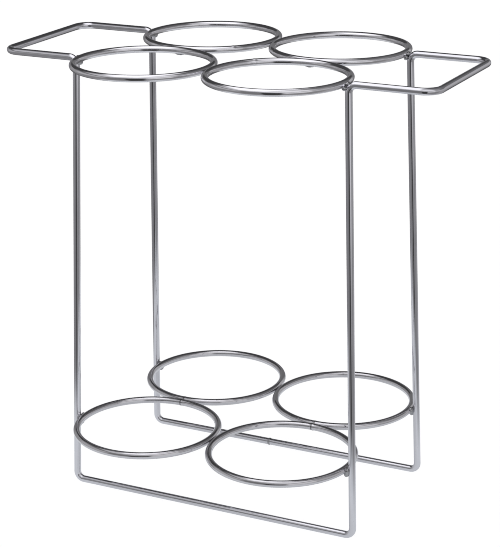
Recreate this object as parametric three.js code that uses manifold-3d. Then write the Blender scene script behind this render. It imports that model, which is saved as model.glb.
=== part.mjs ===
// A four-bottle wine rack made of chrome-plated round steel wire.
//
// One long wire is bent into a closed path: the front base rail, the legs, a handle loop at each end
// and the back base rail. Four rings at the top and four larger rings near the bottom are welded to
// each other and to that wire. A bottle passes down through a top ring and a bottom ring and stands
// on a base rail.
//
// Millimetres, +Z up, front at -Y, handles along X. The origin is in the middle of the footprint, on
// the surface that the rack stands on.

import * as THREE from 'three';
import { mergeVertices } from 'three/addons/utils/BufferGeometryUtils.js';
import Module from 'manifold-3d';

const wasm = await Module();
wasm.setup();

// ---- driving dimensions ----------------------------------------------------------------------

const WIRE = 5; // wire diameter
const GAP = 0.3; // clearance left between pieces that touch on the real rack
const TOP_RING_OUTSIDE = 101.6; // 4 in outside diameter
const BOTTOM_RING_OUTSIDE = 107.95; // 4 1/4 in outside diameter
const RAIL_HEIGHT = 320.5; // centre of the handle wire and of the top rings
const BOTTOM_RING_HEIGHT = 51.7; // centre of the bottom rings
const HANDLE_REACH = 162.9; // middle of the rack to the centre of a handle's cross bar
const LEG_TOP = new THREE.Vector2(103.1, 53.3); // leg axis at rail height, right-hand back leg
const LEG_FOOT = new THREE.Vector2(112, 60.7); // leg axis at the base rail
const LEG_BEND_RADIUS = 1.1 * WIRE; // top and bottom of every leg, at the wire's centre line
const HANDLE_BEND_RADIUS = 2.2 * WIRE; // corners of the handle loops, at the wire's centre line
const BUTT_WELD_X = -11.5; // where the two ends of the frame wire meet, on the back base rail
const BUTT_WELD_LENGTH = 0.8;

// Half-sizes of the weld beads before they are cut back from the wires they join. x is across the
// joint for a ring bead, and along the rack for the beads at the legs.
const RING_BEAD = new THREE.Vector3(1.1, 2.2, 2);
const TOP_LEG_BEAD = new THREE.Vector3(1.8, 2.6, 1.9);
const BOTTOM_LEG_BEAD = new THREE.Vector3(1.6, 2, 1.5);
const RING_BEAD_DROP = 3; // a ring bead's centre below the rings' centre line
const TOP_LEG_BEAD_SHIFT = new THREE.Vector3(-3.9, -0.4, -3.9); // from the corner of the bend
const BOTTOM_LEG_BEAD_SHIFT = new THREE.Vector3(-3.3, -0.6, -0.3); // from the leg's centre line
const LEG_CUT_REACH = 15; // length of leg above and below a ring that a bead is cut back from

const BEND_STEPS = 6; // sections along one bend
const RING_STEPS = 40; // sections round one ring

// ---- sizes that follow -----------------------------------------------------------------------

const RADIUS = WIRE / 2;
const BASE_HEIGHT = RADIUS;
const TOP_RING_RADIUS = (TOP_RING_OUTSIDE - WIRE) / 2;
const BOTTOM_RING_RADIUS = (BOTTOM_RING_OUTSIDE - WIRE) / 2;
const TOP_RING_OFFSET = (TOP_RING_OUTSIDE + GAP) / 2; // ring centre from the rack's two mid planes
const BOTTOM_RING_OFFSET = (BOTTOM_RING_OUTSIDE + GAP) / 2;

const SIDES = { left: -1, right: 1 };
const DEPTHS = { front: -1, back: 1 };

// ---- materials -------------------------------------------------------------------------------

function chrome(color, roughness) {
  return new THREE.MeshStandardMaterial({ color, roughness, metalness: 1 });
}

// ---- shared helpers --------------------------------------------------------------------------

/** The wire's section: a regular octagon with flats square to its two axes, WIRE across. */
function wireSection(scale = 1) {
  const corner = (RADIUS * scale) / Math.cos(Math.PI / 8);
  const points = [];
  for (let i = 0; i < 8; i += 1) {
    const angle = ((i + 0.5) / 8) * 2 * Math.PI;
    points.push(new THREE.Vector2(corner * Math.cos(angle), corner * Math.sin(angle)));
  }
  return points;
}

function toManifold(geometry) {
  const bare = geometry.clone();
  bare.deleteAttribute('normal');
  bare.deleteAttribute('uv');
  const merged = mergeVertices(bare, 1e-4);
  return new wasm.Manifold(
    new wasm.Mesh({
      numProp: 3,
      vertProperties: new Float32Array(merged.attributes.position.array),
      triVerts: new Uint32Array(merged.index.array),
    }),
  );
}

function toGeometry(solid) {
  const mesh = solid.getMesh();
  const geometry = new THREE.BufferGeometry();
  geometry.setAttribute('position', new THREE.BufferAttribute(mesh.vertProperties, 3));
  geometry.setIndex(new THREE.BufferAttribute(mesh.triVerts, 1));
  geometry.computeVertexNormals();
  return geometry;
}

function pieceMesh(name, geometry, material) {
  const mesh = new THREE.Mesh(geometry, material);
  mesh.name = name;
  return mesh;
}

// ---- the frame wire --------------------------------------------------------------------------

/**
 * A wire's centre line: straight runs joined by round bends. It gives an extrusion sections only at
 * the ends and through the bends, and keeps the section's flats level along every level run.
 */
class WirePath extends THREE.Curve {
  constructor(corners, start, end) {
    super();
    this.stations = [{ point: start, tangent: corners[0].clone().sub(start).normalize() }];
    const all = [start, ...corners, end];
    for (let i = 1; i < all.length - 1; i += 1) {
      this.addBend(all[i - 1], all[i], all[i + 1]);
    }
    const last = corners[corners.length - 1];
    this.stations.push({ point: end, tangent: end.clone().sub(last).normalize() });
  }

  addBend(before, corner, after) {
    const inward = corner.clone().sub(before).normalize();
    const outward = after.clone().sub(corner).normalize();
    const turn = inward.angleTo(outward);
    const level = Math.abs(inward.z) < 1e-6 && Math.abs(outward.z) < 1e-6;
    const radius = level ? HANDLE_BEND_RADIUS : LEG_BEND_RADIUS;
    const setback = radius * Math.tan(turn / 2);
    const first = corner.clone().addScaledVector(inward, -setback);
    const toCentre = outward.clone().addScaledVector(inward, -outward.dot(inward)).normalize();
    for (let i = 0; i <= BEND_STEPS; i += 1) {
      const angle = (turn * i) / BEND_STEPS;
      const point = first
        .clone()
        .addScaledVector(inward, radius * Math.sin(angle))
        .addScaledVector(toCentre, radius * (1 - Math.cos(angle)));
      const tangent = inward
        .clone()
        .multiplyScalar(Math.cos(angle))
        .addScaledVector(toCentre, Math.sin(angle));
      this.stations.push({ point, tangent });
    }
  }

  get steps() {
    return this.stations.length - 1;
  }

  getSpacedPoints() {
    return this.stations.map((station) => station.point);
  }

  computeFrenetFrames() {
    const up = new THREE.Vector3(0, 0, 1);
    const frames = { tangents: [], normals: [], binormals: [] };
    for (const { point, tangent } of this.stations) {
      const level = Math.abs(tangent.z) < 1e-6;
      const guide = level
        ? tangent.clone().cross(up)
        : new THREE.Vector3(0, Math.sign(point.y), 0);
      const normal = guide.addScaledVector(tangent, -guide.dot(tangent)).normalize();
      frames.tangents.push(tangent);
      frames.normals.push(normal);
      frames.binormals.push(tangent.clone().cross(normal));
    }
    return frames;
  }
}

/** The bend points of the frame wire, from the back rail's weld round by the left-hand side. */
function frameCorners() {
  const base = (x, y) => new THREE.Vector3(x * LEG_FOOT.x, y * LEG_FOOT.y, BASE_HEIGHT);
  const top = (x, y) => new THREE.Vector3(x * LEG_TOP.x, y * LEG_TOP.y, RAIL_HEIGHT);
  const handle = (x, y) => new THREE.Vector3(x * HANDLE_REACH, y * LEG_TOP.y, RAIL_HEIGHT);
  const { left, right } = SIDES;
  const { front, back } = DEPTHS;
  return [
    base(left, back),
    top(left, back),
    handle(left, back),
    handle(left, front),
    top(left, front),
    base(left, front),
    base(right, front),
    top(right, front),
    handle(right, front),
    handle(right, back),
    top(right, back),
    base(right, back),
  ];
}

function frameGeometry() {
  const endSpace = BUTT_WELD_LENGTH / 2 + GAP;
  const start = new THREE.Vector3(BUTT_WELD_X - endSpace, LEG_FOOT.y, BASE_HEIGHT);
  const end = new THREE.Vector3(BUTT_WELD_X + endSpace, LEG_FOOT.y, BASE_HEIGHT);
  const path = new WirePath(frameCorners(), start, end);
  return new THREE.ExtrudeGeometry(new THREE.Shape(wireSection()), {
    steps: path.steps,
    extrudePath: path,
    bevelEnabled: false,
  });
}

function frameButtWeld() {
  const geometry = new THREE.ExtrudeGeometry(new THREE.Shape(wireSection()), {
    depth: BUTT_WELD_LENGTH,
    bevelEnabled: false,
  });
  geometry.rotateY(Math.PI / 2);
  geometry.translate(BUTT_WELD_X - BUTT_WELD_LENGTH / 2, LEG_FOOT.y, BASE_HEIGHT);
  return geometry;
}

// ---- the rings -------------------------------------------------------------------------------

function ringGeometry(radius, scale = 1) {
  const profile = wireSection(scale).map((point) => new THREE.Vector2(radius + point.x, point.y));
  profile.push(profile[0].clone());
  const geometry = new THREE.LatheGeometry(profile, RING_STEPS);
  geometry.rotateX(Math.PI / 2);
  return geometry;
}

const RING_SETS = {
  top: { radius: TOP_RING_RADIUS, offset: TOP_RING_OFFSET, height: RAIL_HEIGHT },
  bottom: { radius: BOTTOM_RING_RADIUS, offset: BOTTOM_RING_OFFSET, height: BOTTOM_RING_HEIGHT },
};

function ringCentre(set, x, y) {
  return new THREE.Vector3(x * set.offset, y * set.offset, set.height);
}

function ringAt(set, x, y, scale = 1) {
  const centre = ringCentre(set, x, y);
  return ringGeometry(set.radius, scale).translate(centre.x, centre.y, centre.z);
}

// ---- the weld beads --------------------------------------------------------------------------

/** How much larger a wire is drawn when a bead is cut back from it, to leave GAP between them. */
const CUT_SCALE = (RADIUS + GAP) / RADIUS;

function beadBlank(centre, size) {
  const blank = new THREE.SphereGeometry(1, 12, 8);
  blank.scale(size.x, size.y, size.z);
  blank.translate(centre.x, centre.y, centre.z);
  return blank;
}

function cutBead(blank, neighbours) {
  let solid = toManifold(blank);
  for (const neighbour of neighbours) {
    solid = solid.subtract(toManifold(neighbour));
  }
  return toGeometry(solid);
}

/** A drop of weld metal under the point where a left-hand and a right-hand ring touch. */
function sideBySideWeld(set, y) {
  const centre = new THREE.Vector3(0, y * set.offset, set.height - RING_BEAD_DROP);
  const blank = beadBlank(centre, RING_BEAD);
  return cutBead(blank, [ringAt(set, -1, y, CUT_SCALE), ringAt(set, 1, y, CUT_SCALE)]);
}

/** The same under the point where a front ring and a back ring touch. */
function frontToBackWeld(set, x) {
  const centre = new THREE.Vector3(x * set.offset, 0, set.height - RING_BEAD_DROP);
  const size = new THREE.Vector3(RING_BEAD.y, RING_BEAD.x, RING_BEAD.z);
  const blank = beadBlank(centre, size);
  return cutBead(blank, [ringAt(set, x, -1, CUT_SCALE), ringAt(set, x, 1, CUT_SCALE)]);
}

/** A point moved out from the middle of the rack, towards side x and depth y, and up. */
function shifted(point, shift, x, y) {
  return new THREE.Vector3(point.x + x * shift.x, point.y + y * shift.y, point.z + shift.z);
}

/** The leg's centre line at a height, for the leg on side x and depth y. */
function legPoint(x, y, height) {
  const rise = (height - BASE_HEIGHT) / (RAIL_HEIGHT - BASE_HEIGHT);
  const plan = LEG_FOOT.clone().lerp(LEG_TOP, rise);
  return new THREE.Vector3(x * plan.x, y * plan.y, height);
}

/** The stretch of frame wire beside a ring, drawn larger so that a bead can be cut back from it. */
function legBlank(x, y, fromHeight, toHeight) {
  const start = legPoint(x, y, fromHeight);
  const end = legPoint(x, y, toHeight);
  const path = new THREE.LineCurve3(start, end);
  return new THREE.ExtrudeGeometry(new THREE.Shape(wireSection(CUT_SCALE)), {
    steps: 1,
    extrudePath: path,
    bevelEnabled: false,
  });
}

/** The bend at the top of a leg, from the leg to the handle rail, drawn larger in the same way. */
function topBendBlank(x, y) {
  const low = legPoint(x, y, RAIL_HEIGHT - 4 * LEG_BEND_RADIUS);
  const corner = new THREE.Vector3(x * LEG_TOP.x, y * LEG_TOP.y, RAIL_HEIGHT);
  const reach = LEG_TOP.x + 4 * LEG_BEND_RADIUS;
  const far = new THREE.Vector3(x * reach, y * LEG_TOP.y, RAIL_HEIGHT);
  const path = new WirePath([corner], low, far);
  return new THREE.ExtrudeGeometry(new THREE.Shape(wireSection(CUT_SCALE)), {
    steps: path.steps,
    extrudePath: path,
    bevelEnabled: false,
  });
}

/** The weld in the notch under the top ring, against the inner face of the leg. */
function topRingToFrameWeld(x, y) {
  const corner = new THREE.Vector3(x * LEG_TOP.x, y * LEG_TOP.y, RAIL_HEIGHT);
  const blank = beadBlank(shifted(corner, TOP_LEG_BEAD_SHIFT, x, y), TOP_LEG_BEAD);
  return cutBead(blank, [ringAt(RING_SETS.top, x, y, CUT_SCALE), topBendBlank(x, y)]);
}

/** The weld in the notch under the bottom ring, against the inner face of the leg. */
function bottomRingToFrameWeld(x, y) {
  const leg = legPoint(x, y, BOTTOM_RING_HEIGHT - RADIUS);
  const blank = beadBlank(shifted(leg, BOTTOM_LEG_BEAD_SHIFT, x, y), BOTTOM_LEG_BEAD);
  const low = BOTTOM_RING_HEIGHT - LEG_CUT_REACH;
  const high = BOTTOM_RING_HEIGHT + LEG_CUT_REACH;
  return cutBead(blank, [
    ringAt(RING_SETS.bottom, x, y, CUT_SCALE),
    legBlank(x, y, low, high),
  ]);
}

// ---- the rack --------------------------------------------------------------------------------

const WIRE_COLOR = 0xc9ccd2;
const RING_COLOR = 0xc4c7cd;
const WELD_COLOR = 0x9a9ca0;

function addFrame(rack) {
  const frame = new THREE.Group();
  frame.add(pieceMesh('frame_wire', frameGeometry(), chrome(WIRE_COLOR, 0.15)));
  frame.add(pieceMesh('frame_butt_weld', frameButtWeld(), chrome(WELD_COLOR, 0.4)));
  rack.add(frame);
}

function addRings(rack, level) {
  const set = RING_SETS[level];
  const rings = new THREE.Group();
  for (const [depth, y] of Object.entries(DEPTHS)) {
    for (const [side, x] of Object.entries(SIDES)) {
      const ring = pieceMesh(
        `${level}_ring_${depth}_${side}`,
        ringGeometry(set.radius),
        chrome(RING_COLOR, 0.15),
      );
      ring.position.copy(ringCentre(set, x, y));
      rings.add(ring);
    }
  }
  rack.add(rings);
}

function addRingToRingWelds(rack, level) {
  const set = RING_SETS[level];
  const welds = new THREE.Group();
  for (const [depth, y] of Object.entries(DEPTHS)) {
    const geometry = sideBySideWeld(set, y);
    welds.add(pieceMesh(`${level}_rings_weld_${depth}`, geometry, chrome(WELD_COLOR, 0.4)));
  }
  for (const [side, x] of Object.entries(SIDES)) {
    const geometry = frontToBackWeld(set, x);
    welds.add(pieceMesh(`${level}_rings_weld_${side}`, geometry, chrome(WELD_COLOR, 0.4)));
  }
  rack.add(welds);
}

function addRingToFrameWelds(rack) {
  const welds = new THREE.Group();
  for (const [depth, y] of Object.entries(DEPTHS)) {
    for (const [side, x] of Object.entries(SIDES)) {
      const place = `${depth}_${side}`;
      const top = topRingToFrameWeld(x, y);
      const bottom = bottomRingToFrameWeld(x, y);
      welds.add(pieceMesh(`top_frame_weld_${place}`, top, chrome(WELD_COLOR, 0.4)));
      welds.add(pieceMesh(`bottom_frame_weld_${place}`, bottom, chrome(WELD_COLOR, 0.4)));
    }
  }
  rack.add(welds);
}

const rack = new THREE.Group();
addFrame(rack);
for (const level of ['top', 'bottom']) {
  addRings(rack, level);
  addRingToRingWelds(rack, level);
}
addRingToFrameWelds(rack);

export default rack;
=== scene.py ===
"""Looks for a four-bottle wine rack made of chrome-plated wire.

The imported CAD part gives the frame. Each octagonal CAD wire is replaced by a fine round wire on the
same centre line, and each CAD weld by a lumpy drop of weld metal. Everything is in metres, +Z up,
with the front at -Y and the handles along X.
"""

import math

import bmesh
import bpy
import numpy as np
from mathutils import Matrix, Vector, noise


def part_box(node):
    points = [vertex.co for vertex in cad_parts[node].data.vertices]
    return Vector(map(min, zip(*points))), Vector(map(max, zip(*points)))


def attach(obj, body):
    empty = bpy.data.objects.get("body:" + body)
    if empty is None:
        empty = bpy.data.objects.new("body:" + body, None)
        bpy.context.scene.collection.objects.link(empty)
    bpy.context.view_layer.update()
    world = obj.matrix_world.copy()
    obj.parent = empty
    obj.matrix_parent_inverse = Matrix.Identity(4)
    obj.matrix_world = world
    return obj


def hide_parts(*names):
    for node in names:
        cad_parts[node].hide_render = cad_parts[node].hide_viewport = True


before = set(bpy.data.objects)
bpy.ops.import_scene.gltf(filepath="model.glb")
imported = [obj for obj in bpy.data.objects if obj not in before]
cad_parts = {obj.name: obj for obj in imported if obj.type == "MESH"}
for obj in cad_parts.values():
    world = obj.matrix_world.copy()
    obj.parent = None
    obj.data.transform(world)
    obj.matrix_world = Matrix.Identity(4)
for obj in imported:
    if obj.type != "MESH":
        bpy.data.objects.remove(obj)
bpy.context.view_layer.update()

# ---- driving dimensions ------------------------------------------------------------------------

WIRE_RADIUS = 0.0025
LEG_BEND_RADIUS = 0.0055  # centre line, at the top and bottom of every leg
HANDLE_BEND_RADIUS = 0.011  # centre line, at the corners of the handle loops
LEG_TOP = Vector((0.1031, 0.0533))  # leg axis at rail height, from the middle of the rack
SIDES = {"left": -1, "right": 1}
DEPTHS = {"front": -1, "back": 1}

SEAM_RISE = 0.00012  # how far a ring's own butt weld stands out
SEAM_HALF_LENGTH = 0.0009
SEAM_SHADE = {"top": 0.0, "bottom": 0.85}  # how dark the line along that weld is

BUTT_FLASH_LENGTH = 0.0022  # the frame wire's butt weld
BUTT_FLASH_RISE = 0.00045
BUTT_FLASH_SINK = 0.00006  # how far its two ends lie inside the wire
BUTT_RIPPLES = 3
BUTT_RIPPLE_DEPTH = 0.4  # as a share of the rise
BUTT_GROUND_HEIGHT = 0.00002  # where it is ground flat, above the wire's lowest line
BUTT_STEPS = 16

WELD_VOXEL = 0.00022  # mesh size of the weld metal
WELD_BALL_DETAIL = 4
WELD_SMOOTHING = 0.5
WELD_SMOOTHING_PASSES = 6
WELD_LUMP_SIZE = 0.0016
WELD_LUMP_HEIGHT = 0.00022

ROUNDING = 1e-6  # a direction this close to level is level
WIRE_SIDES = 32  # vertices round a wire
STRAIGHT_SPACING = 0.004  # between the sections of a straight run
BEND_STEPS = 16  # sections along a bend
RING_STEPS = 400  # sections round a ring

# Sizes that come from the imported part.
frame_low, frame_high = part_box("frame_wire")
RAIL_HEIGHT = frame_high.z - WIRE_RADIUS
HANDLE_REACH = frame_high.x - WIRE_RADIUS
BASE_HEIGHT = frame_low.z + WIRE_RADIUS
FOOT_Y = frame_high.y - WIRE_RADIUS
FOOT_X = 0.112  # leg axis at the height of the base rails, from the middle of the rack
butt_low, butt_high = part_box("frame_butt_weld")
BUTT_WELD_X = (butt_low.x + butt_high.x) / 2


# ---- camera ------------------------------------------------------------------------------------

CAMERA_AZIMUTH = math.radians(26.81)
CAMERA_ELEVATION = math.radians(18.54)
CAMERA_ROLL = math.radians(-0.57)
CAMERA_DISTANCE = 1.3244
CAMERA_LENS = 120.63
CAMERA_AIM_RIGHT = 0.003
CAMERA_AIM_HEIGHT = 0.1607
PIXEL_BLUR = 1.0  # pixels


def make_camera():
    """A long lens in front of the rack, to its right and above it."""
    cos_e, sin_e = math.cos(CAMERA_ELEVATION), math.sin(CAMERA_ELEVATION)
    sin_a, cos_a = math.sin(CAMERA_AZIMUTH), math.cos(CAMERA_AZIMUTH)
    forward = Vector((-sin_a * cos_e, cos_a * cos_e, -sin_e))
    right = Vector((cos_a, sin_a, 0))
    up = right.cross(forward)
    rolled_right = right * math.cos(CAMERA_ROLL) + up * math.sin(CAMERA_ROLL)
    rolled_up = up * math.cos(CAMERA_ROLL) - right * math.sin(CAMERA_ROLL)
    aim = right * CAMERA_AIM_RIGHT + Vector((0, 0, CAMERA_AIM_HEIGHT))
    data = bpy.data.cameras.new("camera")
    data.lens = CAMERA_LENS
    camera = bpy.data.objects.new("camera", data)
    rotation = Matrix((rolled_right, rolled_up, -forward)).transposed().to_4x4()
    camera.matrix_world = Matrix.Translation(aim - forward * CAMERA_DISTANCE) @ rotation
    bpy.context.scene.collection.objects.link(camera)
    bpy.context.scene.camera = camera


# ---- node helpers ------------------------------------------------------------------------------


class Nodes:
    """A short way to build a material or world node tree."""

    def __init__(self, tree):
        self.tree = tree
        tree.nodes.clear()

    def add(self, kind, inputs=None, **settings):
        """Adds a node. Its inputs are numbers, colours or sockets, and settings are its own."""
        node = self.tree.nodes.new(kind)
        for name, value in settings.items():
            setattr(node, name, value)
        for name, value in (inputs or {}).items():
            self.put(node.inputs[name], value)
        return node

    def put(self, socket, value):
        if isinstance(value, bpy.types.NodeSocket):
            self.tree.links.new(value, socket)
        else:
            socket.default_value = value

    def math(self, operation, first, second=0.0):
        node = self.add("ShaderNodeMath", operation=operation)
        self.put(node.inputs[0], first)
        self.put(node.inputs[1], second)
        return node.outputs[0]

    def ramp(self, value, stops):
        """A colour ramp: stops are (position, colour)."""
        node = self.add("ShaderNodeValToRGB")
        elements = node.color_ramp.elements
        while len(elements) < len(stops):
            elements.new(1.0)
        for element, (position, colour) in zip(elements, stops):
            element.position = position
            element.color = (*colour, 1.0)
        self.put(node.inputs[0], value)
        return node.outputs["Color"]

    def span(self, value, low, high, new_low, new_high):
        """Changes a value from the range low..high to the range new_low..new_high."""
        node = self.add("ShaderNodeMapRange")
        for name, number in zip(
            ("Value", "From Min", "From Max", "To Min", "To Max"),
            (value, low, high, new_low, new_high),
        ):
            self.put(node.inputs[name], number)
        return node.outputs["Result"]


# ---- materials ---------------------------------------------------------------------------------

# How fine the noise patterns are, in features per metre.
DRAW_LINE_SCALE = (14.0, 900.0, 900.0)  # along the wire, then across its section both ways
RIPPLE_SCALE = 420.0
CLOUD_SCALE = 38.0
SPECK_SCALE = 330.0
BUMP_HEIGHT = 0.00005

WIRE_TINT = (0.80, 0.795, 0.833)
# The top and bottom rings have the same plating: the top rings' tint is raised as painted light, the
# bottom rings' tint lowered as painted shade.
RING_TINTS_LIT_AND_SHADED = {"top": (0.865, 0.855, 0.884), "bottom": (0.745, 0.735, 0.76)}
# Weld metal is darker than the plated wire. Its tint is also lowered as painted shade, for the
# shadowed grooves under the rings where the welds sit.
WELD_TINT_WITH_PAINTED_SHADE = (0.45, 0.45, 0.46)


def chrome(name, tint, base_roughness, grain, dulling):
    """Chrome plate over drawn steel wire.

    grain is the strength of the fine bumps and dulling is how much the cloudy patches raise the
    roughness. The "along" attribute runs along and round the wire, so draw lines follow its bends.
    The "seam" attribute is how dark the wire is at a ring's butt weld, and 0 everywhere else.
    """
    material = bpy.data.materials.new(name)
    material.use_nodes = True
    nodes = Nodes(material.node_tree)
    along = nodes.add("ShaderNodeAttribute", attribute_name="along").outputs["Vector"]
    place = nodes.add("ShaderNodeTexCoord").outputs["Object"]

    draw_space = nodes.add("ShaderNodeMapping", {"Vector": along, "Scale": DRAW_LINE_SCALE})
    draw_lines = nodes.add(
        "ShaderNodeTexNoise",
        {"Vector": draw_space.outputs[0], "Scale": 1.0, "Detail": 3.0, "Roughness": 0.6},
    ).outputs["Fac"]
    ripple = nodes.add(
        "ShaderNodeTexNoise",
        {"Vector": place, "Scale": RIPPLE_SCALE, "Detail": 2.0, "Roughness": 0.5},
    ).outputs["Fac"]
    cloud = nodes.add(
        "ShaderNodeTexNoise",
        {"Vector": place, "Scale": CLOUD_SCALE, "Detail": 4.0, "Roughness": 0.65},
    ).outputs["Fac"]
    specks = nodes.add("ShaderNodeTexVoronoi", {"Vector": place, "Scale": SPECK_SCALE})

    darker = tuple(channel * 0.93 for channel in tint)
    lighter = tuple(channel * 1.03 for channel in tint)
    tone = nodes.ramp(cloud, [(0.30, darker), (0.55, tint), (0.80, lighter)])
    pit = nodes.span(specks.outputs["Distance"], 0.02, 0.10, 0.78, 1.0)
    colour = nodes.add("ShaderNodeMix", data_type="RGBA", blend_type="MULTIPLY")
    colour.inputs[0].default_value = 1.0
    nodes.put(colour.inputs[6], tone)
    seam = nodes.add("ShaderNodeAttribute", attribute_name="seam").outputs["Fac"]
    nodes.put(colour.inputs[7], nodes.math("MULTIPLY", pit, nodes.math("SUBTRACT", 1.0, seam)))

    patches = nodes.span(cloud, 0.42, 0.72, 0.0, dulling)
    lines = nodes.span(draw_lines, 0.35, 0.70, 0.0, 0.05)
    rough = nodes.math("ADD", nodes.math("ADD", patches, lines), base_roughness)

    heights = nodes.math(
        "ADD", nodes.math("MULTIPLY", draw_lines, 0.5), nodes.math("MULTIPLY", ripple, 0.8)
    )
    bump = nodes.add(
        "ShaderNodeBump", {"Height": heights, "Strength": grain, "Distance": BUMP_HEIGHT}
    )
    shader = nodes.add(
        "ShaderNodeBsdfPrincipled",
        {
            "Base Color": colour.outputs[2],
            "Metallic": 1.0,
            "Roughness": rough,
            "Normal": bump.outputs[0],
        },
    )
    output = nodes.add("ShaderNodeOutputMaterial")
    nodes.put(output.inputs["Surface"], shader.outputs[0])
    return material


# ---- wire meshes -------------------------------------------------------------------------------


def is_level(direction):
    return abs(direction.z) < ROUNDING


def bend_stations(before, corner, after):
    """Centre-line points and directions through one round bend."""
    inward = (corner - before).normalized()
    outward = (after - corner).normalized()
    turn = inward.angle(outward)
    in_handle = is_level(inward) and is_level(outward)
    radius = HANDLE_BEND_RADIUS if in_handle else LEG_BEND_RADIUS
    first = corner - inward * radius * math.tan(turn / 2)
    to_centre = (outward - inward * outward.dot(inward)).normalized()
    for i in range(BEND_STEPS + 1):
        angle = turn * i / BEND_STEPS
        point = first + radius * (inward * math.sin(angle) + to_centre * (1 - math.cos(angle)))
        yield point, inward * math.cos(angle) + to_centre * math.sin(angle)


def straight_stations(start, end):
    """Centre-line points and directions along a straight run, without its first and last."""
    steps = max(1, round((end - start).length / STRAIGHT_SPACING))
    direction = (end - start).normalized()
    for i in range(1, steps):
        yield start.lerp(end, i / steps), direction


def wire_mesh(name, stations, guides, radius_at, closed):
    """Sweeps a round section along stations, each a (point, direction).

    guides give the sideways direction that keeps the section from twisting, and radius_at gives
    the wire's radius at a distance along it. A wire that isn't closed gets flat ends. The "along"
    attribute holds the distance and the place across the wire's section, in metres.
    """
    points = np.array([point for point, _ in stations])
    tangents = np.array([direction for _, direction in stations])
    guides = np.array(guides)
    guides -= tangents * np.sum(guides * tangents, axis=1, keepdims=True)
    guides /= np.linalg.norm(guides, axis=1, keepdims=True)
    others = np.cross(tangents, guides)
    steps = np.linalg.norm(np.diff(points, axis=0), axis=1)
    lengths = np.concatenate([[0.0], np.cumsum(steps)])
    angles = np.arange(WIRE_SIDES) / WIRE_SIDES * 2 * math.pi
    radii = np.array([radius_at(length) for length in lengths])
    ring = (
        guides[:, None, :] * np.cos(angles)[None, :, None]
        + others[:, None, :] * np.sin(angles)[None, :, None]
    )
    vertices = (points[:, None, :] + ring * radii[:, None, None]).reshape(-1, 3)
    count = len(points)
    faces = []
    for i in range(count if closed else count - 1):
        here, there = i * WIRE_SIDES, ((i + 1) % count) * WIRE_SIDES
        for j in range(WIRE_SIDES):
            k = (j + 1) % WIRE_SIDES
            faces.append((here + j, here + k, there + k, there + j))
    if not closed:
        last = (count - 1) * WIRE_SIDES
        faces.append(tuple(reversed(range(WIRE_SIDES))))
        faces.append(tuple(last + j for j in range(WIRE_SIDES)))
    mesh = bpy.data.meshes.new(name)
    mesh.from_pydata([tuple(v) for v in vertices], [], faces)
    mesh.validate()
    along = mesh.attributes.new("along", "FLOAT_VECTOR", "POINT")
    values = np.zeros((count, WIRE_SIDES, 3))
    values[:, :, 0] = lengths[:, None]
    values[:, :, 1] = np.cos(angles)[None, :] * WIRE_RADIUS
    values[:, :, 2] = np.sin(angles)[None, :] * WIRE_RADIUS
    along.data.foreach_set("vector", values.astype(np.float32).ravel())
    for polygon in mesh.polygons:
        polygon.use_smooth = len(polygon.vertices) == 4
    return mesh


def add_piece(name, mesh, material, cad_node):
    """Adds one fine piece to the rack, in the place of one CAD node."""
    piece = bpy.data.objects.new(name, mesh)
    mesh.materials.append(material)
    bpy.context.scene.collection.objects.link(piece)
    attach(piece, "root")
    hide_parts(cad_node)


# ---- the frame wire ----------------------------------------------------------------------------


def frame_corners():
    """The frame wire's bend points, from its weld on the back base rail round by the left."""

    def base(x, y):
        return Vector((x * FOOT_X, y * FOOT_Y, BASE_HEIGHT))

    def top(x, y):
        return Vector((x * LEG_TOP.x, y * LEG_TOP.y, RAIL_HEIGHT))

    def handle(x, y):
        return Vector((x * HANDLE_REACH, y * LEG_TOP.y, RAIL_HEIGHT))

    left, right = SIDES["left"], SIDES["right"]
    front, back = DEPTHS["front"], DEPTHS["back"]
    return [
        base(left, back),
        top(left, back),
        handle(left, back),
        handle(left, front),
        top(left, front),
        base(left, front),
        base(right, front),
        top(right, front),
        handle(right, front),
        handle(right, back),
        top(right, back),
        base(right, back),
    ]


def frame_stations():
    """The frame wire's whole centre line, from its weld round to the same weld."""
    corners = frame_corners()
    weld = Vector((BUTT_WELD_X, FOOT_Y, BASE_HEIGHT))
    stops = [weld, *corners, weld]
    bends = [list(bend_stations(*stops[i - 1 : i + 2])) for i in range(1, len(stops) - 1)]
    stations = [(weld, (corners[0] - weld).normalized())]
    for bend in bends:
        stations.extend(straight_stations(stations[-1][0], bend[0][0]))
        stations.extend(bend)
    stations.extend(straight_stations(stations[-1][0], weld))
    return stations


def build_frame(material):
    """The one long wire that makes the base rails, the legs and the handle loops."""
    stations = frame_stations()
    guides = []
    for point, direction in stations:
        if is_level(direction):
            guides.append(direction.cross(Vector((0, 0, 1))))
        else:
            guides.append(Vector((0, math.copysign(1, point.y), 0)))
    mesh = wire_mesh("frame_wire_fine", stations, guides, lambda length: WIRE_RADIUS, True)
    add_piece("frame_wire_fine", mesh, material, "frame_wire")


# ---- rings -------------------------------------------------------------------------------------


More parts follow.
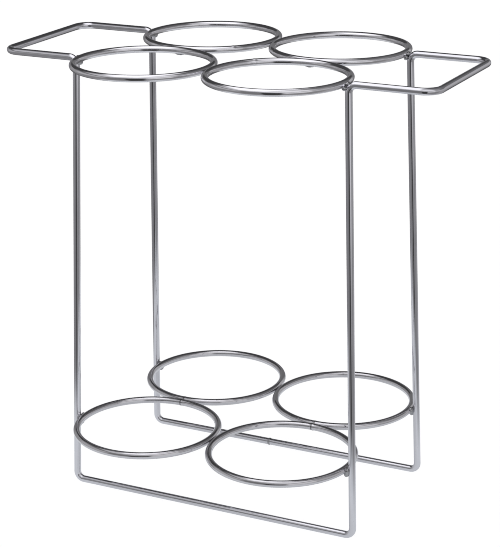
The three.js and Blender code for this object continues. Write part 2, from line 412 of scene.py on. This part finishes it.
def build_ring(node, seam_angle, seam_shade, material):
    """One ring, bent from a piece of wire and closed by a butt weld at seam_angle.

    The stations start opposite that weld, so it is half way along them.
    """
    low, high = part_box(node)
    centre = (low + high) / 2
    radius = (high.x - low.x) / 2 - WIRE_RADIUS
    half_turn = math.pi * radius

    def radius_at(length):
        return WIRE_RADIUS + SEAM_RISE * math.exp(-(((length - half_turn) / SEAM_HALF_LENGTH) ** 2))

    stations, guides = [], []
    for i in range(RING_STEPS):
        angle = seam_angle + math.pi + i / RING_STEPS * 2 * math.pi
        outward = Vector((math.cos(angle), math.sin(angle), 0))
        stations.append((centre + outward * radius, Vector((-outward.y, outward.x, 0))))
        guides.append(outward)
    mesh = wire_mesh(node + "_fine", stations, guides, radius_at, True)
    shades = np.zeros((RING_STEPS, WIRE_SIDES), dtype=np.float32)
    shades[RING_STEPS // 2] = seam_shade
    mesh.attributes.new("seam", "FLOAT", "POINT").data.foreach_set("value", shades.ravel())
    add_piece(node + "_fine", mesh, material, node)


# ---- welds -------------------------------------------------------------------------------------

# A drop of weld metal is a few overlapping ellipsoids, each a centre and half-sizes in millimetres.
#
# Where a leg meets a ring, a centre is measured from the leg's axis: away from the rack's middle in
# x and in y, and up. The half-sizes are in x, y and z.
TOP_LEG_DROP = [  # under the ring, round the inner face of the leg that bends out beside it
    ((-2.9, -0.4, -3.3), (1.5, 2.5, 1.6)),
    ((-2.3, 2.2, -2.6), (1.6, 1.3, 1.5)),
    ((-2.4, -2.5, -2.6), (1.6, 1.3, 1.5)),
    ((-1.0, -0.8, 0.2), (1.7, 2.2, 1.4)),
]
BOTTOM_LEG_DROP = [  # between the ring and the leg that stands just outside it
    ((-2.7, 0.0, -0.8), (1.5, 2.6, 2.8)),
    ((-3.6, 0.6, -3.1), (2.0, 2.7, 2.1)),
    ((-2.6, 2.2, -1.0), (1.5, 1.5, 2.6)),
    ((-3.2, -3.0, -0.2), (1.9, 2.4, 2.7)),
]
# Where two rings touch, a centre is measured from the contact: towards the rack's middle, and up.
# The half-sizes are across the groove between the rings, along it and up.
RING_DROP = [
    ((0.0, -1.9), (1.4, 3.2, 1.2)),
    ((0.3, -2.9), (1.4, 3.3, 1.1)),
    ((2.6, -2.7), (1.1, 1.8, 0.9)),
]


def build_drop(balls, material, node):
    """Weld metal: overlapping ellipsoids, (centre, half-sizes) each, melted into one lumpy drop."""
    name = node + "_fine"
    builder = bmesh.new()
    for centre, size in balls:
        place = Matrix.Translation(centre) @ Matrix.Diagonal((*size, 1.0))
        bmesh.ops.create_icosphere(
            builder, subdivisions=WELD_BALL_DETAIL, radius=1.0, matrix=place
        )
    rough = bpy.data.meshes.new(name + "_rough")
    builder.to_mesh(rough)
    builder.free()
    scratch = bpy.data.objects.new(name + "_rough", rough)
    bpy.context.scene.collection.objects.link(scratch)
    melt = scratch.modifiers.new("melt", "REMESH")
    melt.mode = "VOXEL"
    melt.voxel_size = WELD_VOXEL
    smooth = scratch.modifiers.new("smooth", "SMOOTH")
    smooth.factor = WELD_SMOOTHING
    smooth.iterations = WELD_SMOOTHING_PASSES
    evaluated = scratch.evaluated_get(bpy.context.evaluated_depsgraph_get())
    mesh = bpy.data.meshes.new_from_object(evaluated)
    mesh.name = name
    bpy.data.objects.remove(scratch)
    bpy.data.meshes.remove(rough)
    normals = [vertex.normal.copy() for vertex in mesh.vertices]
    for vertex, normal in zip(mesh.vertices, normals):
        lump = noise.noise(vertex.co / WELD_LUMP_SIZE)
        vertex.co += normal * lump * WELD_LUMP_HEIGHT
    mesh.materials.clear()
    for polygon in mesh.polygons:
        polygon.use_smooth = True
    add_piece(name, mesh, material, node)


def millimetres(*sizes):
    return Vector(sizes) / 1000


def ring_height(level):
    """The height of the wire's axis in the rings of one level."""
    low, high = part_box(f"{level}_ring_front_left")
    return (low.z + high.z) / 2


def build_ring_weld(level, place, material):
    """A drop in the groove under the point where two rings touch side by side."""
    node = f"{level}_rings_weld_{place}"
    low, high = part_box(node)
    contact = Vector(((low.x + high.x) / 2, (low.y + high.y) / 2, ring_height(level)))
    inward = Vector((-contact.x, -contact.y, 0)).normalized()
    balls = []
    for (inwards, up), (across, along, height) in RING_DROP:
        centre = contact + inward * inwards / 1000 + millimetres(0, 0, up)
        groove_runs_in_y = place in DEPTHS
        size = (across, along, height) if groove_runs_in_y else (along, across, height)
        balls.append((centre, millimetres(*size)))
    build_drop(balls, material, node)


def leg_axis_at(height):
    """Where the axis of the back right leg is at one height."""
    rise = (height - BASE_HEIGHT) / (RAIL_HEIGHT - BASE_HEIGHT)
    x, y = Vector((FOOT_X, FOOT_Y)).lerp(LEG_TOP, rise)
    return Vector((x, y, height))


def build_leg_weld(level, depth, side, height, drop, material):
    """Weld metal that holds a ring to the leg beside it."""

    def at(centre):
        x, y, z = leg_axis_at(height) + millimetres(*centre)
        return Vector((x * SIDES[side], y * DEPTHS[depth], z))

    balls = [(at(centre), millimetres(*size)) for centre, size in drop]
    build_drop(balls, material, f"{level}_frame_weld_{depth}_{side}")


def build_butt_weld(material):
    """The flash left where the frame wire's two ends were joined, ground flat underneath."""
    middle = (butt_low + butt_high) / 2
    stations = []
    for i in range(BUTT_STEPS + 1):
        x = middle.x + BUTT_FLASH_LENGTH * (i / BUTT_STEPS - 0.5)
        stations.append((Vector((x, middle.y, middle.z)), Vector((1, 0, 0))))
    guides = [Vector((0, 0, 1))] * len(stations)

    def radius_at(length):
        share = length / BUTT_FLASH_LENGTH
        bulge = math.sin(math.pi * share)
        ripple = 0.5 + 0.5 * math.cos(2 * math.pi * BUTT_RIPPLES * (share - 0.5))
        rise = BUTT_FLASH_RISE * bulge * (1 - BUTT_RIPPLE_DEPTH * (1 - ripple))
        return WIRE_RADIUS - BUTT_FLASH_SINK + rise

    mesh = wire_mesh("frame_butt_weld_fine", stations, guides, radius_at, False)
    for vertex in mesh.vertices:
        vertex.co.z = max(vertex.co.z, BASE_HEIGHT - WIRE_RADIUS + BUTT_GROUND_HEIGHT)
    add_piece("frame_butt_weld_fine", mesh, material, "frame_butt_weld")


# ---- studio ------------------------------------------------------------------------------------
#
# Wires of chrome show only what is round them, so the studio is laid out as lights and dark places.
# The walls are the world, painted by direction: azimuth in degrees from the studio's own front
# towards its right, and elevation in degrees. The softbox overhead and the lit sheet under the rack
# are near it, so they are planes, painted by x and y in metres.

STUDIO_FRONT = 26.8  # degrees from the rack's front (-Y) towards +X
SOFTBOX_HEIGHT = 0.62
SOFTBOX_HALF_SIZE = 1.1
SHEET_HALF_SIZE = 0.7
SHEET_HEIGHT = -0.0002  # just under the floor, which the wires don't mirror
SHEET_BRIGHTNESS = 0.70
FLOOR_HALF_SIZE = 20.0
FLOOR_GLOW = 0.72  # added to what the floor gets from the walls

WALL_COLOUR = (0.98, 0.975, 1.0, 1)
SOFTBOX_COLOUR = (0.97, 0.97, 1, 1)
SHEET_COLOUR = (0.93, 0.96, 1, 1)
FLOOR_COLOUR = (0.85, 0.85, 0.86, 1)

# Each patch is (from, to, from, to, soft edge, brightness) and is painted over the ones before it.
WALLS = 0.25
WALL_PATCHES = [  # azimuth, elevation
    (80, 140, -60, -9, 14, 0.36),  # pale floor on the right
    (140, 220, -60, -9, 14, 0.12),  # shaded floor far behind
    (-220, -140, -60, -9, 14, 0.12),
    (-200, 200, -9, 60, 12, 0.46),  # walls
    (-60, -24, -40, 26, 14, 0.20),  # darker room left of the camera
    (-150, -118, -12, 26, 12, 0.32),
    (150, 210, -12, 60, 14, 0.17),  # unlit back wall, right half
    (-210, -148, -12, 60, 14, 0.19),  # and left half
    (-26, 6, -60, 10, 8, 0.045),  # camera and stand
    (9, 50, -14, 34, 8, 0.70),  # window light on the right
]
SOFTBOX = 0.055
SOFTBOX_PATCHES = [  # x, y
    (0.15, 1.3, -1.2, 1.2, 0.5, 0.17),  # paler ceiling on the right
    (0.42, 1.3, -1.2, 0.22, 0.3, 0.32),
    (-1.3, -0.70, -1.2, 0.1, 0.3, 0.24),
    (-0.56, 0.70, -0.95, -0.10, 0.28, 0.58),  # lit front half
    (0.16, 0.66, -0.62, -0.12, 0.14, 0.84),
    (-0.22, 0.11, -0.42, 0.09, 0.12, 1.25),  # bright core
]
SHEET = 0.0
SHEET_PATCHES = [  # x, y, and how solid the sheet is instead of a brightness
    (-0.28, 0.22, -0.23, 0.40, 0.16, 1.0),
    (-0.10, 0.10, -0.10, 0.12, 0.06, 0.78),  # shade between the base rails
]


def window(nodes, value, low, high, soft):
    """1 between low and high, falling smoothly to 0 over the soft edge on each side."""
    sides = []
    for edge, direction in ((low, 1), (high, -1)):
        node = nodes.add("ShaderNodeMapRange", interpolation_type="SMOOTHSTEP")
        nodes.put(node.inputs["Value"], value)
        nodes.put(node.inputs["From Min"], edge - direction * soft / 2)
        nodes.put(node.inputs["From Max"], edge + direction * soft / 2)
        sides.append(node.outputs["Result"])
    return nodes.math("MULTIPLY", *sides)


def painted(nodes, first, second, base, patches):
    """A brightness that changes with two coordinates, from soft-edged rectangles over a base."""
    level = base
    for first_low, first_high, second_low, second_high, soft, brightness in patches:
        cover = nodes.math(
            "MULTIPLY",
            window(nodes, first, first_low, first_high, soft),
            window(nodes, second, second_low, second_high, soft),
        )
        mix = nodes.add("ShaderNodeMix", data_type="FLOAT")
        nodes.put(mix.inputs[0], cover)
        nodes.put(mix.inputs[2], level)
        nodes.put(mix.inputs[3], brightness)
        level = mix.outputs[0]
    return level


def make_world():
    """The studio's walls."""
    world = bpy.data.worlds.new("studio")
    bpy.context.scene.world = world
    world.use_nodes = True
    nodes = Nodes(world.node_tree)
    direction = nodes.add("ShaderNodeTexCoord").outputs["Generated"]
    turned = nodes.add(
        "ShaderNodeVectorRotate",
        {"Vector": direction, "Angle": math.radians(-STUDIO_FRONT)},
        rotation_type="Z_AXIS",
    )
    split = nodes.add("ShaderNodeSeparateXYZ", {"Vector": turned.outputs[0]})
    to_front = nodes.math("MULTIPLY", split.outputs["Y"], -1.0)
    azimuth = nodes.math("DEGREES", nodes.math("ARCTAN2", split.outputs["X"], to_front))
    elevation = nodes.math("DEGREES", nodes.math("ARCSINE", split.outputs["Z"]))
    level = painted(nodes, azimuth, elevation, WALLS, WALL_PATCHES)
    background = nodes.add("ShaderNodeBackground", {"Color": WALL_COLOUR})
    nodes.put(background.inputs["Strength"], level)
    output = nodes.add("ShaderNodeOutputWorld")
    nodes.put(output.inputs["Surface"], background.outputs[0])


def stage_plane(name, half_size, height):
    """A level plane of the stage, with an empty node tree for its material."""
    mesh = bpy.data.meshes.new(name)
    corners = [
        (x * half_size, y * half_size, height) for x, y in ((-1, -1), (1, -1), (1, 1), (-1, 1))
    ]
    mesh.from_pydata(corners, [], [(0, 1, 2, 3)])
    plane = bpy.data.objects.new(name, mesh)
    bpy.context.scene.collection.objects.link(plane)
    material = bpy.data.materials.new(name)
    material.use_nodes = True
    mesh.materials.append(material)
    return plane, Nodes(material.node_tree)


def mirrored_only(plane):
    """Hides a plane from everything but mirror reflections."""
    plane.visible_camera = False
    plane.visible_diffuse = False
    plane.visible_transmission = False
    plane.visible_shadow = False


def make_floor():
    """A white floor for the eye, which the wires don't mirror."""
    floor, nodes = stage_plane("floor", FLOOR_HALF_SIZE, 0.0)
    floor.visible_glossy = False
    glow = nodes.add("ShaderNodeEmission", {"Color": (1, 1, 1, 1), "Strength": FLOOR_GLOW})
    paper = nodes.add("ShaderNodeBsdfDiffuse", {"Color": FLOOR_COLOUR})
    both = nodes.add("ShaderNodeAddShader")
    nodes.put(both.inputs[0], glow.outputs[0])
    nodes.put(both.inputs[1], paper.outputs[0])
    output = nodes.add("ShaderNodeOutputMaterial")
    nodes.put(output.inputs["Surface"], both.outputs[0])


def make_sheet():
    """A lit sheet under the rack that only the wires see, clear where it isn't painted."""
    sheet, nodes = stage_plane("lit_sheet", SHEET_HALF_SIZE, SHEET_HEIGHT)
    mirrored_only(sheet)
    place = nodes.add("ShaderNodeTexCoord").outputs["Object"]
    split = nodes.add("ShaderNodeSeparateXYZ", {"Vector": place})
    cover = painted(nodes, split.outputs["X"], split.outputs["Y"], SHEET, SHEET_PATCHES)
    beyond = nodes.add("ShaderNodeBsdfTransparent")
    glow = nodes.add("ShaderNodeEmission", {"Color": SHEET_COLOUR, "Strength": SHEET_BRIGHTNESS})
    mix = nodes.add("ShaderNodeMixShader")
    nodes.put(mix.inputs[0], cover)
    nodes.put(mix.inputs[1], beyond.outputs[0])
    nodes.put(mix.inputs[2], glow.outputs[0])
    output = nodes.add("ShaderNodeOutputMaterial")
    nodes.put(output.inputs["Surface"], mix.outputs[0])


def make_softbox():
    """A light over the rack that only the wires see."""
    softbox, nodes = stage_plane("softbox", SOFTBOX_HALF_SIZE, SOFTBOX_HEIGHT)
    mirrored_only(softbox)
    place = nodes.add("ShaderNodeTexCoord").outputs["Object"]
    split = nodes.add("ShaderNodeSeparateXYZ", {"Vector": place})
    level = painted(nodes, split.outputs["X"], split.outputs["Y"], SOFTBOX, SOFTBOX_PATCHES)
    glow = nodes.add("ShaderNodeEmission", {"Color": SOFTBOX_COLOUR, "Strength": level})
    output = nodes.add("ShaderNodeOutputMaterial")
    nodes.put(output.inputs["Surface"], glow.outputs[0])


# ---- build -------------------------------------------------------------------------------------

bpy.context.scene.view_settings.view_transform = "Standard"
make_camera()
make_world()
make_floor()
make_sheet()
make_softbox()
bpy.context.scene.cycles.filter_width = PIXEL_BLUR
wire_chrome = chrome("wire_chrome", WIRE_TINT, base_roughness=0.03, grain=0.12, dulling=0.07)
# One ring chrome in a lit copy and a shaded copy: painted light on the top rings, painted shade on
# the bottom rings.
ring_chrome_with_painted_light = {
    level: chrome(f"{level}_ring_chrome_with_painted_light", tint, base_roughness=0.035, grain=0.15, dulling=0.08)
    for level, tint in RING_TINTS_LIT_AND_SHADED.items()
}
# Rough weld metal, darkened further by painted shade.
weld_chrome = chrome("weld_chrome", WELD_TINT_WITH_PAINTED_SHADE, base_roughness=0.15, grain=0.9, dulling=0.2)
build_frame(wire_chrome)
build_butt_weld(weld_chrome)
for level in ("top", "bottom"):
    for depth, y in DEPTHS.items():
        for side, x in SIDES.items():
            # Top seams face the rack's middle, bottom seams the ring in front or behind.
            seam_angle = math.atan2(-y, -x if level == "top" else 0)
            ring = f"{level}_ring_{depth}_{side}"
            build_ring(ring, seam_angle, SEAM_SHADE[level], ring_chrome_with_painted_light[level])
    for place in (*DEPTHS, *SIDES):
        build_ring_weld(level, place, weld_chrome)
for depth in DEPTHS:
    for side in SIDES:
        build_leg_weld("top", depth, side, RAIL_HEIGHT, TOP_LEG_DROP, weld_chrome)
        build_leg_weld("bottom", depth, side, ring_height("bottom"), BOTTOM_LEG_DROP, weld_chrome)
